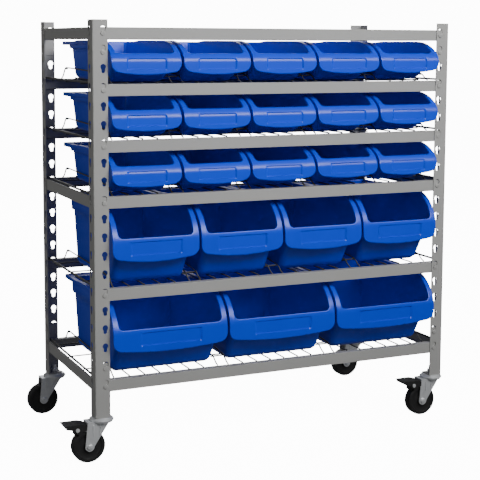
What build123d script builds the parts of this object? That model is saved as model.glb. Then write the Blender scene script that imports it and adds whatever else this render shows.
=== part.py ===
from build123d import *
import math
import os

os.makedirs("parts", exist_ok=True)

# Driving dimensions in millimetres. X is across the cart, Y from front to back, Z up from the floor.
# The origin is on the floor under the middle of the four posts.
cart_width = 914.0
cart_depth = 428.0
post_height = 886.0
caster_height = 101.6
cut_overrun = 2.0

# Angle posts with a column of keyholes in each flange
post_flange = 34.5
post_gauge = 1.9
post_corner_radius = 2.4
slot_pitch = 41.3
slot_count = 20
slot_from_corner = 24.0
slot_head_radius = 6.5
slot_neck_radius = 4.1
slot_rise = 9.5
top_seat_drop = 29.75

# Shelf beams, riveted into the keyholes
beam_slots = [0, 3, 6, 9, 14, 19]
side_beam_slots = [0, 9, 19]
beam_face = 26.5
beam_gauge = 1.5
beam_ledge = 18.0
beam_return = 6.0
side_ledge = 4.0
end_plate_width = 31.0
end_plate_margin = 12.0
beam_end_gap = 0.2
rivet_shank_radius = 4.0
rivet_head_radius = 5.6
rivet_head_height = 2.0

# Wire shelves
wire_radius = 1.75
edge_wire_radius = 2.7
edge_wire_inset = 9.0
wire_end_setback = 11.0
wire_target_pitch = 36.5
cross_wire_places = [118.0, 239.0, 358.0]
weld_sink = 0.4
divider_gap = 27.0
divider_bar_overhang = 3.4
divider_front_rise = 15.0
divider_back_rise = 27.0
divider_front_reach = 26.0
divider_back_reach = 34.0
divider_mid_reach = 93.0
divider_mid_rise = 22.0
divider_bar_inset = 7.0
divider_start = 17.0
divider_bend_radius = 6.0

# Plastic bins: how many stand on each shelf, counted from the top shelf down
bins_on_shelf = [5, 5, 5, 4, 3]
bin_kinds = ["small_bin", "small_bin", "small_bin", "medium_bin", "large_bin"]
bin_side_gap = 3.0
bin_lift = 0.3
lip_forward = 18.0
bin_wall = 2.2
bin_floor = 2.6
rim_inset = 9.5
step_depth = 5.8
base_inset = 16.0
base_corner_radius = 16.0
rim_corner_radius = 10.0
bottom_round = 14.0
base_front = 63.0
base_back = 338.0
rim_back = 347.0
hook_reach = 43.0
hook_inset = 3.0
hook_drop = 3.0
hook_thickness = 3.6
hook_turn = 6.0
rim_roll = 9.0
rim_plate = 2.4
lip_plate = 3.0
lip_corner_radius = 20.0
lip_bow = 5.0
label_depth = 1.2
label_width_share = 0.57
label_top_margin = 1.0
label_foot_margin = 5.0
small_bin_height = 92.0
small_lip_top = 58.0
small_lip_bottom = 21.5
small_step_height = 72.0
small_rim_start = 44.0
small_rim_run = 98.0
small_rim_shares = [(0.12, 0.26), (0.31, 0.55), (0.49, 0.79), (0.72, 0.94)]
small_lip_setback = 15.0
tall_bin_height = 174.5
tall_lip_top = 106.0
tall_lip_bottom = 62.0
tall_step_height = 135.0
tall_rim_start = 100.0
tall_rim_run = 93.0
tall_rim_shares = [(0.08, 0.31), (0.24, 0.61), (0.49, 0.88)]
tall_lip_setback = 3.0

# Foot plates and casters
stem_from_corner = 19.0
foot_plate_thickness = 3.0
foot_plate_margin = 0.2
foot_tab_height = 24.0
foot_tab_gauge = 2.0
stem_radius = 5.0
stem_reach = 20.0
stem_clearance = 0.06
nut_across_flats = 17.0
nut_height = 8.0
nut_seat_gap = 0.02
cup_height = 5.0
cup_top_radius = 22.0
cup_radius = 27.5
cup_skirt = 3.0
cup_gauge = 2.5
race_height = 2.4
race_inner_radius = 15.0
race_outer_radius = 22.0
race_gap = 0.3
fork_plate_radius = 25.0
fork_plate_thickness = 3.0
king_head_radius = 9.0
king_head_height = 3.0
king_head_gap = 0.3
wheel_radius = 38.1
wheel_width = 24.0
wheel_shoulder = 4.0
wheel_recess = 2.5
wheel_rim_depth = 8.5
hub_radius = 12.0
hub_proud = 1.2
trail = 32.0
axle_radius = 4.0
axle_fit = 0.05
wheel_fit = 0.08
axle_head_radius = 7.0
axle_head_height = 3.6
leg_gauge = 2.6
leg_gap = 0.8
leg_front = 14.0
leg_back = 37.0
leg_toe_radius = 10.5
leg_bead_radius = 1.6
leg_bead_proud = 1.0
leg_bead_places = [8.0, 24.0]
leg_bead_length = 24.0
leg_bead_drop = 4.0

# Brake pedals on the two front casters, placed from the pedal's pin
brake_pin_x = 61.0
brake_pin_z = 81.0
brake_pin_radius = 3.0
brake_pin_fit = 0.08
brake_pin_head_radius = 4.6
brake_pin_head_height = 1.8
brake_ear_radius = 5.5
brake_ear_root = 84.0
pedal_side_gap = 0.5
pedal_gauge = 2.4
pedal_tip_x = 31.0
pedal_top_z = 12.0
pedal_edge_z = 3.5
pedal_edge_x = 25.0
pedal_notch_x = 11.0
pedal_low_x = 7.0
pedal_low_z = 15.0
pedal_nose_x = 22.0
pedal_nose_high_z = 8.5
pedal_nose_low_z = 5.0
pedal_crown_x = 8.0
pedal_shoe_x = 3.0
pedal_shoe_length = 9.0
pedal_shoe_gap = 2.4

# Values worked out from the driving dimensions
half_width = cart_width / 2
half_depth = cart_depth / 2
post_bottom = caster_height
post_top = post_bottom + post_height
beam_front = -half_depth + post_gauge


def seat_z(slot):
    """Height of the rivet seat of one keyhole, counted from the top."""
    return post_top - top_seat_drop - slot * slot_pitch


def beam_top(slot):
    return seat_z(slot) + beam_face / 2


def slab(x_range, y_range, z_range):
    """Box between three pairs of coordinates."""
    sizes = [high - low for low, high in (x_range, y_range, z_range)]
    middle = [(high + low) / 2 for low, high in (x_range, y_range, z_range)]
    return Pos(*middle) * Box(*sizes)


def side_profile(points, width):
    """Outline in Y and Z, carried across X and centred on it."""
    face = Plane.YZ * make_face(Polyline(*points, close=True))
    return extrude(face, amount=width / 2, both=True)


def lengthwise_profile(points, width):
    """Outline in X and Z, carried along Y and centred on it."""
    face = Plane.XZ * make_face(Polyline(*points, close=True))
    return extrude(face, amount=width / 2, both=True)


def across(radius, y_from, y_to, x=0, z=0):
    """Round bar along Y."""
    bar = Cylinder(radius, y_to - y_from, align=(Align.CENTER, Align.CENTER, Align.MIN))
    return Pos(x, y_from, z) * Rot(-90, 0, 0) * bar


def upright(radius, z_from, z_to, x=0, y=0):
    """Round bar along Z."""
    bar = Cylinder(radius, z_to - z_from, align=(Align.CENTER, Align.CENTER, Align.MIN))
    return Pos(x, y, z_from) * bar


def crosswise(radius, x_from, x_to, y=0, z=0):
    """Round bar along X."""
    bar = Cylinder(radius, x_to - x_from, align=(Align.CENTER, Align.CENTER, Align.MIN))
    return Pos(x_from, y, z) * Rot(0, 90, 0) * bar


def save(node, shape):
    """Writes one node, as its solid or as a group of solids."""
    solids = shape.solids()
    whole = solids[0] if len(solids) == 1 else Compound(solids)
    export_step(whole, os.path.join("parts", node + ".step"))


def in_corners(shape):
    """Copies a front left piece into all four corners by mirroring."""
    right = mirror(shape, Plane.YZ)
    return {"front_left": shape, "front_right": right,
            "rear_left": mirror(shape, Plane.XZ), "rear_right": mirror(right, Plane.XZ)}


# Posts
def keyhole_cutter(depth):
    """Keyhole seen along Y: a round head above a narrower neck whose foot is the rivet seat."""
    head = Pos(0, slot_rise) * Circle(slot_head_radius)
    neck = Pos(0, slot_rise / 2) * SlotCenterToCenter(slot_rise, slot_neck_radius * 2, rotation=90)
    return extrude(Plane.XZ * (head + neck), amount=depth / 2, both=True)


def front_left_post():
    outline = Pos(post_flange / 2, post_flange / 2) * Rectangle(post_flange, post_flange)
    hollow_size = post_flange - post_gauge
    hollow_middle = post_gauge + hollow_size / 2
    outline -= Pos(hollow_middle, hollow_middle) * Rectangle(hollow_size, hollow_size)
    post = Pos(-half_width, -half_depth, post_bottom) * extrude(outline, amount=post_height)
    corner = post.edges().filter_by(Axis.Z).sort_by_distance((-half_width, -half_depth, post_bottom))[0]
    post = fillet(corner, post_corner_radius)
    cutter = keyhole_cutter(post_gauge + cut_overrun * 2)
    turned = Rot(0, 0, 90) * cutter
    cuts = []
    for slot in range(slot_count):
        cuts.append(Pos(-half_width + slot_from_corner, beam_front, seat_z(slot)) * cutter)
        cuts.append(Pos(-half_width + post_gauge, -half_depth + slot_from_corner, seat_z(slot)) * turned)
    return post - cuts


# Beams
def end_plate_span(slot):
    """Lowest and highest point of a beam's end plate: the top and bottom beams have two rivets an end."""
    low = beam_top(slot) - beam_face
    high = beam_top(slot)
    if slot == beam_slots[0]:
        low = seat_z(slot + 1) - end_plate_margin
    if slot == beam_slots[-1]:
        high = seat_z(slot - 1) + end_plate_margin
    return low, high


def rivet_slots(slot):
    """Keyholes that one beam's end plate fills."""
    if slot == beam_slots[0]:
        return [slot, slot + 1]
    if slot == beam_slots[-1]:
        return [slot - 1, slot]
    return [slot]


def front_beam(slot):
    top = beam_top(slot)
    low = top - beam_face
    reach = half_width - post_gauge
    inner = reach - beam_gauge - beam_end_gap
    face = slab((-reach, reach), (beam_front, beam_front + beam_gauge), (low, top))
    ledge = slab((-inner, inner), (beam_front, beam_front + beam_ledge), (top - beam_gauge, top))
    foot = slab((-inner, inner), (beam_front, beam_front + beam_return), (low, low + beam_gauge))
    beam = face + ledge + foot
    plate_low, plate_high = end_plate_span(slot)
    if plate_high - plate_low > beam_face:
        plate = slab((-reach, -reach + end_plate_width), (beam_front, beam_front + beam_gauge),
                     (plate_low, plate_high))
        beam += [plate, mirror(plate, Plane.YZ)]
    return beam


def left_side_beam(slot):
    top = beam_top(slot)
    low = top - beam_face
    outer = -half_width + post_gauge
    reach = half_depth - post_gauge - beam_gauge - beam_end_gap
    ledge_reach = half_depth - post_flange - beam_end_gap
    face = slab((outer, outer + beam_gauge), (-reach, reach), (low, top))
    ledge = slab((outer, outer + side_ledge), (-ledge_reach, ledge_reach), (top - beam_gauge, top))
    foot = slab((outer, outer + beam_return), (-ledge_reach, ledge_reach), (low, low + beam_gauge))
    beam = face + ledge + foot
    plate_low, plate_high = end_plate_span(slot)
    if plate_high - plate_low > beam_face:
        plate = slab((outer, outer + beam_gauge), (-reach, -reach + end_plate_width), (plate_low, plate_high))
        beam += [plate, mirror(plate, Plane.XZ)]
    return beam


def rivet():
    """Rivet along Y with its shank's foot at the origin and its head towards -Y."""
    shank = across(rivet_shank_radius, -post_gauge, 0)
    return shank + across(rivet_head_radius, -post_gauge - rivet_head_height, -post_gauge)


def beam_rivets():
    """All rivets of the beams, as separate solids."""
    pin = rivet()
    turned = Rot(0, 0, -90) * pin
    rivets = []
    for slot in beam_slots:
        for seat in rivet_slots(slot):
            front = Pos(-half_width + slot_from_corner, beam_front, seat_z(seat)) * pin
            rivets += list(in_corners(front).values())
    for slot in side_beam_slots:
        for seat in rivet_slots(slot):
            side = Pos(-half_width + post_gauge, -half_depth + slot_from_corner, seat_z(seat)) * turned
            rivets += list(in_corners(side).values())
    return Compound(children=rivets)


# Wire shelves
bay_width = cart_width - post_flange * 2


def bin_pitch(count):
    return bay_width / count


def divider_wire(x, top):
    """Raised wire from the front ledge over the shelf and down to the back ledge."""
    low = top + wire_radius
    front = -half_depth + divider_start
    back = half_depth - divider_start
    points = [(x, front, low), (x, front + divider_front_reach / 3, low + divider_front_rise / 6),
              (x, front + divider_front_reach, low + divider_front_rise),
              (x, front + divider_mid_reach, low + divider_mid_rise),
              (x, back - divider_back_reach, low + divider_back_rise),
              (x, back - divider_back_reach / 3, low + divider_back_rise / 6), (x, back, low)]
    path = FilletPolyline(*points, radius=divider_bend_radius)
    start = Plane(origin=points[0], z_dir=path % 0)
    return sweep(start * Circle(wire_radius), path=path)


def divider_height(y):
    """How far a divider wire stands above the shelf at one place on its two long runs."""
    front = -half_depth + divider_start
    turn = front + divider_mid_reach
    back = half_depth - divider_start - divider_back_reach
    if y < turn:
        share = (y - front - divider_front_reach) / (divider_mid_reach - divider_front_reach)
        return divider_front_rise + (divider_mid_rise - divider_front_rise) * share
    return divider_mid_rise + (divider_back_rise - divider_mid_rise) * (y - turn) / (back - turn)


def wire_shelf(slot, count):
    """Welded shelf: long wires from front to back, cross wires below them, raised pairs between the bins."""
    top = beam_top(slot)
    level = top + wire_radius
    reach = half_depth - post_gauge - beam_gauge - wire_end_setback
    pitch = bin_pitch(count)
    wires = []
    for place in range(count):
        left = -half_width + post_flange + pitch * place + divider_gap / 2
        clear = pitch - divider_gap
        gaps = round(clear / wire_target_pitch)
        for step in range(1, gaps):
            wires.append(across(wire_radius, -reach, reach, left + clear * step / gaps, level))
    for side in (-1, 1):
        edge_x = side * (half_width - edge_wire_inset)
        wires.append(across(edge_wire_radius, -reach, reach, edge_x, top + edge_wire_radius))
    cross_z = level - wire_radius * 2 + weld_sink
    cross_reach = half_width - edge_wire_inset
    for place in cross_wire_places:
        wires.append(crosswise(wire_radius, -cross_reach, cross_reach, -half_depth + place, cross_z))
    for place in range(count + 1):
        middle = -half_width + post_flange + pitch * place
        sides = [side for side in (-1, 1) if 0 <= place + (side - 1) / 2 < count]
        columns = [middle + side * divider_gap / 2 for side in sides]
        for column in columns:
            wires.append(divider_wire(column, top))
        ends = (min(columns) - divider_bar_overhang, max(columns) + divider_bar_overhang)
        front_y = -half_depth + divider_start + divider_front_reach + divider_bar_inset
        back_y = half_depth - divider_start - divider_back_reach - divider_bar_inset
        under = level - wire_radius * 2 + weld_sink
        wires.append(crosswise(wire_radius, *ends, front_y, under + divider_height(front_y)))
        wires.append(crosswise(wire_radius, *ends, back_y, under + divider_height(back_y)))
    first = wires[0]
    return first.fuse(*wires[1:])


# Bins. Each is modelled with its lip's front at Y zero, its base at Z zero and its middle at X zero.
def bin_sizes(count):
    """Sizes that differ between the short bins and the tall ones."""
    width = bin_pitch(count) - bin_side_gap * 2
    if count == max(bins_on_shelf):
        return dict(width=width, height=small_bin_height, lip_top=small_lip_top, lip_bottom=small_lip_bottom,
                    setback=small_lip_setback, step=small_step_height, rim_start=small_rim_start,
                    rim_run=small_rim_run, rim_shares=small_rim_shares)
    return dict(width=width, height=tall_bin_height, lip_top=tall_lip_top, lip_bottom=tall_lip_bottom,
                setback=tall_lip_setback, step=tall_step_height, rim_start=tall_rim_start,
                rim_run=tall_rim_run, rim_shares=tall_rim_shares)


def tub_outline(size, z, grow):
    """Rounded outline of the tub at one height: the sides lean out and the front slopes forward."""
    share = z / size["height"]
    inset = base_inset + (rim_inset - base_inset) * share - grow
    front = base_front + (size["setback"] - base_front) * z / size["lip_top"] - grow
    back = base_back + (rim_back - base_back) * share + grow
    radius = base_corner_radius + (rim_corner_radius - base_corner_radius) * share + grow
    outline = RectangleRounded(size["width"] - inset * 2, back - front, radius)
    return Pos(0, (front + back) / 2, z) * outline


def lower_tub(size, low, high, rounding, grow):
    """Tub from its rounded foot up to the step in its wall."""
    sections = []
    for degrees in (0, 45, 90):
        turn = math.radians(degrees)
        z = low + rounding * (1 - math.cos(turn))
        sections.append(tub_outline(size, z, grow - rounding * (1 - math.sin(turn))))
    sections.append(tub_outline(size, high, grow))
    return loft(sections, ruled=True)


def upper_tub(size, low, grow):
    """Wider part of the tub, from the step past the rim."""
    return loft([tub_outline(size, low, grow), tub_outline(size, size["height"] + cut_overrun, grow)], ruled=True)


def rim_line(size, drop):
    """Side view of the rim, upright at the lip and level at the back, or of a line the drop inside it."""
    foot = size["rim_start"] - drop
    rise = size["height"] - size["rim_start"]
    points = [(drop, foot)]
    for run_share, rise_share in size["rim_shares"]:
        points.append((size["rim_run"] * run_share + drop, foot + rise * rise_share))
    points.append((size["rim_run"] + drop, size["height"] - drop))
    return Spline(*points, tangents=((0, 1), (1, 0)))


def rim_band(size, drop, width):
    """Layer of one depth under the rim, carried across the given width."""
    upper = rim_line(size, 0)
    lower = rim_line(size, drop)
    top = size["height"]
    back = Polyline(upper @ 1, (rim_back, top), (rim_back, top - drop), lower @ 1)
    front = Polyline(lower @ 0, (0, size["rim_start"] - drop), upper @ 0)
    face = Plane.YZ * make_face(upper + back + lower + front)
    return extrude(face, amount=width / 2, both=True)


def under_rim(size):
    """Everything below the rim, used to trim the tub."""
    upper = rim_line(size, 0)
    far = rim_back + hook_reach
    rest = Polyline(upper @ 1, (far, size["height"]), (far, -cut_overrun), (0, -cut_overrun), upper @ 0)
    return extrude(Plane.YZ * make_face(upper + rest), amount=size["width"], both=True)


def front_lip(size):
    """Front plate with rounded lower corners, a bowed foot and a recess for a label."""
    half = size["width"] / 2
    foot = size["lip_bottom"]
    corner = lip_corner_radius
    shoulder = corner * (1 - math.cos(math.pi / 4))
    sides = Polyline((-half, foot + corner), (-half, size["rim_start"]), (half, size["rim_start"]),
                     (half, foot + corner))
    right = ThreePointArc((half, foot + corner), (half - shoulder, foot + shoulder), (half - corner, foot))
    bow = ThreePointArc((half - corner, foot), (0, foot - lip_bow), (-half + corner, foot))
    left = ThreePointArc((-half + corner, foot), (-half + shoulder, foot + shoulder), (-half, foot + corner))
    plate = extrude(Plane.XZ * make_face(sides + right + bow + left), amount=-lip_plate)
    label_half = half * label_width_share
    label = slab((-label_half, label_half), (-cut_overrun, label_depth),
                 (foot + label_foot_margin, size["rim_start"] - label_top_margin))
    return plate - label


def rear_hook(size):
    """Flange behind the rim with its edge turned down, for hanging the bin on a rail."""
    half = size["width"] / 2 - hook_inset
    top = size["height"] - hook_drop
    tip = rim_back + hook_reach
    points = [(rim_back - bin_wall, top), (tip, top), (tip, top - hook_turn),
              (tip - hook_thickness, top - hook_turn), (tip - hook_thickness, top - hook_thickness),
              (rim_back - bin_wall, top - hook_thickness)]
    return side_profile(points, half * 2)


def plastic_bin(count):
    size = bin_sizes(count)
    step = size["step"]
    outer = lower_tub(size, 0, step, bottom_round, 0) + upper_tub(size, step, step_depth)
    outer = outer & under_rim(size)
    flange = rim_band(size, rim_plate, size["width"])
    skirt = rim_band(size, rim_roll, size["width"])
    skirt -= rim_band(size, rim_roll + cut_overrun, size["width"] - rim_plate * 2)
    body = outer + [flange, skirt, front_lip(size), rear_hook(size)]
    cavity = lower_tub(size, bin_floor, step + bin_floor, bottom_round - bin_wall, -bin_wall)
    cavity += upper_tub(size, step + bin_floor, step_depth - bin_wall)
    return body - cavity


def bin_places():
    """Name, shelf and place of every bin, from the top left to the bottom right."""
    places = []
    for shelf, count in enumerate(bins_on_shelf, start=1):
        for place in range(count):
            x = -half_width + post_flange + bin_pitch(count) * (place + 1 / 2)
            z = beam_top(beam_slots[shelf]) + wire_radius * 2 + bin_lift
            places.append((f"{bin_kinds[shelf - 1]}_{shelf}_{place + 1}", count, x, z))
    return places


# Casters, modelled with the stem's axis at X and Y zero and the floor at Z zero
fork_top = caster_height - cup_height - cup_skirt - race_gap
leg_inner = wheel_width / 2 + leg_gap + hub_proud
leg_outer = leg_inner + leg_gauge
fork_bottom = fork_top - fork_plate_thickness


def foot_plate():
    """Corner plate in the foot of a front left post, with a tab up each flange."""
    low = post_gauge + foot_plate_margin
    high = post_flange
    z = post_bottom
    tab_top = z + foot_tab_height
    plate = slab((low, high), (low, high), (z, z + foot_plate_thickness))
    plate += slab((low, high), (low, low + foot_tab_gauge), (z, tab_top))
    plate += slab((low, low + foot_tab_gauge), (low, high), (z, tab_top))
    plate -= upright(stem_radius + stem_clearance, z - cut_overrun, z + foot_plate_thickness + cut_overrun,
                     stem_from_corner, stem_from_corner)
    return Pos(-half_width, -half_depth, 0) * plate


def stem():
    """King pin and threaded stem in one, with the head that carries the fork."""
    head_top = fork_bottom - king_head_gap
    pin = upright(stem_radius, head_top, post_bottom + stem_reach)
    return pin + upright(king_head_radius, head_top - king_head_height, head_top)


def stem_nut():
    low = post_bottom + foot_plate_thickness + nut_seat_gap
    hexagon = RegularPolygon(nut_across_flats / 2, 6, major_radius=False)
    nut = Pos(0, 0, low) * extrude(hexagon, amount=nut_height)
    return nut - upright(stem_radius + stem_clearance, low - cut_overrun, low + nut_height + cut_overrun)


def swivel_cup():
    """Pressed upper race: a dished cup under the post."""
    low = caster_height - cup_height - cup_skirt
    outline = Polyline((stem_radius + stem_clearance, caster_height), (cup_top_radius, caster_height),
                       (cup_radius, low + cup_skirt), (cup_radius, low), (cup_radius - cup_gauge, low),
                       (cup_radius - cup_gauge, low + cup_skirt), (cup_top_radius - cup_gauge / 2,
                                                                   caster_height - cup_gauge),
                       (stem_radius + stem_clearance, caster_height - cup_gauge), close=True)
    return revolve(Plane.XZ * make_face(outline), axis=Axis.Z)


def ball_race():
    """Ring of balls between the cup and the fork, as one ring with a rounded section."""
    low = fork_top + race_gap
    high = caster_height - cup_gauge
    outline = Polyline((race_inner_radius, low), (race_outer_radius, low),
                       (race_outer_radius, low + race_height), (cup_top_radius - cup_gauge, high),
                       (race_inner_radius - cup_gauge, high), (race_inner_radius - cup_gauge, low + race_height),
                       close=True)
    return revolve(Plane.XZ * make_face(outline), axis=Axis.Z)


def fork_leg(side):
    """Pressed leg from the fork's plate down to the axle, with a stiffening bead."""
    top = fork_bottom + fork_plate_thickness / 2
    toe_x = -trail
    toe_z = wheel_radius
    blade = Polyline((-leg_back, top), (leg_front, top), (toe_x + leg_toe_radius, toe_z),
                     (toe_x - leg_toe_radius, toe_z), close=True)
    outline = make_face(blade) + Pos(toe_x, toe_z) * Circle(leg_toe_radius)
    leg = extrude(Plane.XZ * outline, amount=leg_gauge / 2, both=True)
    leg = Pos(0, side * (leg_inner + leg_gauge / 2), 0) * leg
    bead_top = fork_bottom - leg_bead_drop
    bead_y = side * (leg_outer + leg_bead_proud - leg_bead_radius)
    for place in leg_bead_places:
        leg += upright(leg_bead_radius, bead_top - leg_bead_length, bead_top, -place, bead_y)
    return leg


def caster_fork(braked):
    """Swivel fork: round plate, two legs and, on a braked caster, two ears for the pedal's pin."""
    fork = upright(fork_plate_radius, fork_bottom, fork_top)
    back_plate = slab((-leg_back, 0), (-leg_outer, leg_outer), (fork_bottom, fork_top))
    fork += [back_plate, fork_leg(-1), fork_leg(1)]
    if braked:
        for side in (-1, 1):
            y_middle = side * (leg_inner + leg_gauge / 2)
            ear = Polyline((-leg_back, brake_ear_root), (-leg_back, brake_pin_z - brake_ear_radius),
                           (-brake_pin_x, brake_pin_z - brake_ear_radius),
                           (-brake_pin_x, brake_pin_z + brake_ear_radius), close=True)
            blade = make_face(ear) + Pos(-brake_pin_x, brake_pin_z) * Circle(brake_ear_radius)
            fork += Pos(0, y_middle, 0) * extrude(Plane.XZ * blade, amount=leg_gauge / 2, both=True)
        fork -= across(brake_pin_radius + axle_fit, -leg_outer - cut_overrun, leg_outer + cut_overrun,
                       -brake_pin_x, brake_pin_z)
    fork -= across(axle_radius + axle_fit, -leg_outer - cut_overrun, leg_outer + cut_overrun, -trail, wheel_radius)
    fork -= upright(stem_radius + wheel_fit, fork_bottom - cut_overrun, fork_top + cut_overrun)
    return fork


def caster_wheel():
    """Moulded wheel, turned about its own axis."""
    half = wheel_width / 2
    rim = wheel_radius - wheel_rim_depth
    outline = Polyline((axle_radius + wheel_fit, half + hub_proud), (hub_radius, half + hub_proud),
                       (hub_radius, half - wheel_recess), (rim, half - wheel_recess), (rim, half),
                       (wheel_radius - wheel_shoulder, half), (wheel_radius, half - wheel_shoulder),
                       (wheel_radius, -half + wheel_shoulder), (wheel_radius - wheel_shoulder, -half),
                       (rim, -half), (rim, -half + wheel_recess), (hub_radius, -half + wheel_recess),
                       (hub_radius, -half - hub_proud), (axle_radius + wheel_fit, -half - hub_proud),
                       close=True)
    wheel = revolve(make_face(outline), axis=Axis.Y)
    return Pos(-trail, 0, wheel_radius) * wheel


def wheel_axle():
    """Axle bolt with a round head at each end."""
    bolt = across(axle_radius, -leg_outer, leg_outer)
    for side in (-1, 1):
        low = min(side * leg_outer, side * (leg_outer + axle_head_height))
        bolt += across(axle_head_radius, low, low + axle_head_height)
    return Pos(-trail, 0, wheel_radius) * bolt


pedal_inner = leg_outer + pedal_side_gap
pedal_outer = pedal_inner + pedal_gauge


def pedal_outline(inset):
    """Side view of the pedal about its pin, or of its hollow when inset is positive."""
    return [(-pedal_tip_x + inset * 2, pedal_top_z - inset), (pedal_crown_x, pedal_top_z - inset),
            (pedal_nose_x + inset, pedal_nose_high_z - inset), (pedal_nose_x + inset, -pedal_nose_low_z - inset),
            (pedal_low_x, -pedal_low_z - inset), (-pedal_notch_x, 0 - inset),
            (-pedal_edge_x, pedal_edge_z - inset)]


def brake_pedal():
    """Moulded pedal over the wheel, hollow below, with the shoe that meets the tread."""
    body = lengthwise_profile(pedal_outline(0), pedal_outer * 2)
    body -= lengthwise_profile(pedal_outline(pedal_gauge), pedal_inner * 2)
    shoe = slab((-pedal_shoe_x, -pedal_shoe_x + pedal_shoe_length), (-wheel_width / 2, wheel_width / 2),
                (-pedal_low_z, pedal_top_z - pedal_gauge / 2))
    body += shoe
    pedal = Pos(-brake_pin_x, 0, brake_pin_z) * body
    pedal -= across(wheel_radius + pedal_shoe_gap, -pedal_outer - cut_overrun, pedal_outer + cut_overrun,
                    -trail, wheel_radius)
    pedal -= across(brake_pin_radius + brake_pin_fit, -pedal_outer - cut_overrun, pedal_outer + cut_overrun,
                    -brake_pin_x, brake_pin_z)
    return pedal


def brake_pin():
    pin = across(brake_pin_radius, -pedal_outer, pedal_outer)
    for side in (-1, 1):
        low = min(side * pedal_outer, side * (pedal_outer + brake_pin_head_height))
        pin += across(brake_pin_head_radius, low, low + brake_pin_head_height)
    return Pos(-brake_pin_x, 0, brake_pin_z) * pin


def caster_places():
    """Stem position of each caster and whether it has a brake."""
    x = half_width - stem_from_corner
    y = half_depth - stem_from_corner
    return {"front_left": (-x, -y, True), "front_right": (x, -y, True),
            "rear_left": (-x, y, False), "rear_right": (x, y, False)}


def build():
    for corner, post in in_corners(front_left_post()).items():
        save("post_" + corner, post)
    rears = []
    for number, slot in enumerate(beam_slots, start=1):
        beam = front_beam(slot)
        save(f"front_beam_{number}", beam)
        rears.append(mirror(beam, Plane.XZ))
    save("rear_beams", Compound(children=rears))
    sides = []
    for slot in side_beam_slots:
        left = left_side_beam(slot)
        sides += [left, mirror(left, Plane.YZ)]
    save("side_beams", Compound(children=sides))
    save("beam_rivets", beam_rivets())
    for shelf, count in enumerate(bins_on_shelf, start=1):
        save(f"wire_shelf_{shelf}", wire_shelf(beam_slots[shelf], count))
    patterns = {count: plastic_bin(count) for count in sorted(set(bins_on_shelf))}
    for name, count, x, z in bin_places():
        save(name, Pos(x, -half_depth - lip_forward, z) * patterns[count])
    save("foot_plates", Compound(children=list(in_corners(foot_plate()).values())))
    groups = {"caster_stems": [stem()], "stem_nuts": [stem_nut()], "swivel_bearings": [swivel_cup(), ball_race()]}
    for node, shapes in groups.items():
        copies = [Pos(x, y, 0) * shape for x, y, braked in caster_places().values() for shape in shapes]
        save(node, Compound(children=copies))
    forks = {braked: caster_fork(braked) for braked in (True, False)}
    wheel, axle, pedal, pin = caster_wheel(), wheel_axle(), brake_pedal(), brake_pin()
    for corner, (x, y, braked) in caster_places().items():
        place = Pos(x, y, 0)
        save("caster_fork_" + corner, place * forks[braked])
        save("caster_wheel_" + corner, place * wheel)
        save("wheel_axle_" + corner, place * axle)
        if braked:
            save("brake_pedal_" + corner, place * pedal)
            save("brake_pin_" + corner, place * pin)


build()
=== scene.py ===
import math
import bmesh
import bpy
import numpy as np
from mathutils import Matrix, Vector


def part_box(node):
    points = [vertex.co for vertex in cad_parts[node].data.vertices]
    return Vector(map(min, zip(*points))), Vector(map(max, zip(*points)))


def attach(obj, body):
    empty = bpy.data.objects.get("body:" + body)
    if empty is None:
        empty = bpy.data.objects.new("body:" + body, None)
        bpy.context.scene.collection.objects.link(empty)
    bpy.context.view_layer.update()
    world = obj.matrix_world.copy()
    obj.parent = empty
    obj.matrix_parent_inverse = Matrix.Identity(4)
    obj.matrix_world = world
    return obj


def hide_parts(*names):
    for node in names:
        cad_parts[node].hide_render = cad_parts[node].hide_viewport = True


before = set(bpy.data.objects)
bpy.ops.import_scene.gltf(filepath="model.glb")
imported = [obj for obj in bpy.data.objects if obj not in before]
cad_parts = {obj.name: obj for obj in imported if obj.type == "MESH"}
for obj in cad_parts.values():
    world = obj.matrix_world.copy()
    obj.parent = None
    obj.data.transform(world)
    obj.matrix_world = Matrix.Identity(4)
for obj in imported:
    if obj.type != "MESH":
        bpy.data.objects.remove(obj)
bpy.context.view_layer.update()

mm = 0.001
print("frame loaded")


def linearColour(hexCode):
    # each sRGB channel: below 0.04045 it is divided by 12.92, above it goes up by the power 2.4
    channels = [int(hexCode[i:i + 2], 16) / 255 for i in (1, 3, 5)]
    return tuple(c / 12.92 if c <= 0.04045 else ((c + 0.055) / 1.055) ** 2.4 for c in channels) + (1.0,)


def addNode(tree, kind, settings=None, values=None, links=None):
    node = tree.nodes.new(kind)
    for key, value in (settings or {}).items():
        setattr(node, key, value)
    for key, value in (values or {}).items():
        node.inputs[key].default_value = value
    for key, source in (links or {}).items():
        tree.links.new(source, node.inputs[key])
    return node


def meshFrom(name, points, quads, triangles):
    mesh = bpy.data.meshes.new(name)
    corners = np.concatenate([np.ravel(quads), np.ravel(triangles)]).astype(np.int32)
    totals = np.concatenate([np.full(len(quads), 4), np.full(len(triangles), 3)])
    starts = np.concatenate([[0], np.cumsum(totals)[:-1]]).astype(np.int32)
    mesh.vertices.add(len(points))
    mesh.vertices.foreach_set("co", np.ravel(points).astype(np.float32))
    mesh.loops.add(len(corners))
    mesh.loops.foreach_set("vertex_index", corners)
    mesh.polygons.add(len(totals))
    mesh.polygons.foreach_set("loop_start", starts)
    mesh.update(calc_edges=True)
    mesh.polygons.foreach_set("use_smooth", np.ones(len(totals), bool))
    return mesh


def addPiece(name, mesh, material, body, nodes, sharpAngle=None):
    if sharpAngle is not None:
        mesh.set_sharp_from_angle(angle=math.radians(sharpAngle))
    piece = bpy.data.objects.new(name, mesh)
    bpy.context.collection.objects.link(piece)
    piece.data.materials.append(material)
    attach(piece, body)
    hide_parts(*nodes)
    return piece


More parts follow.
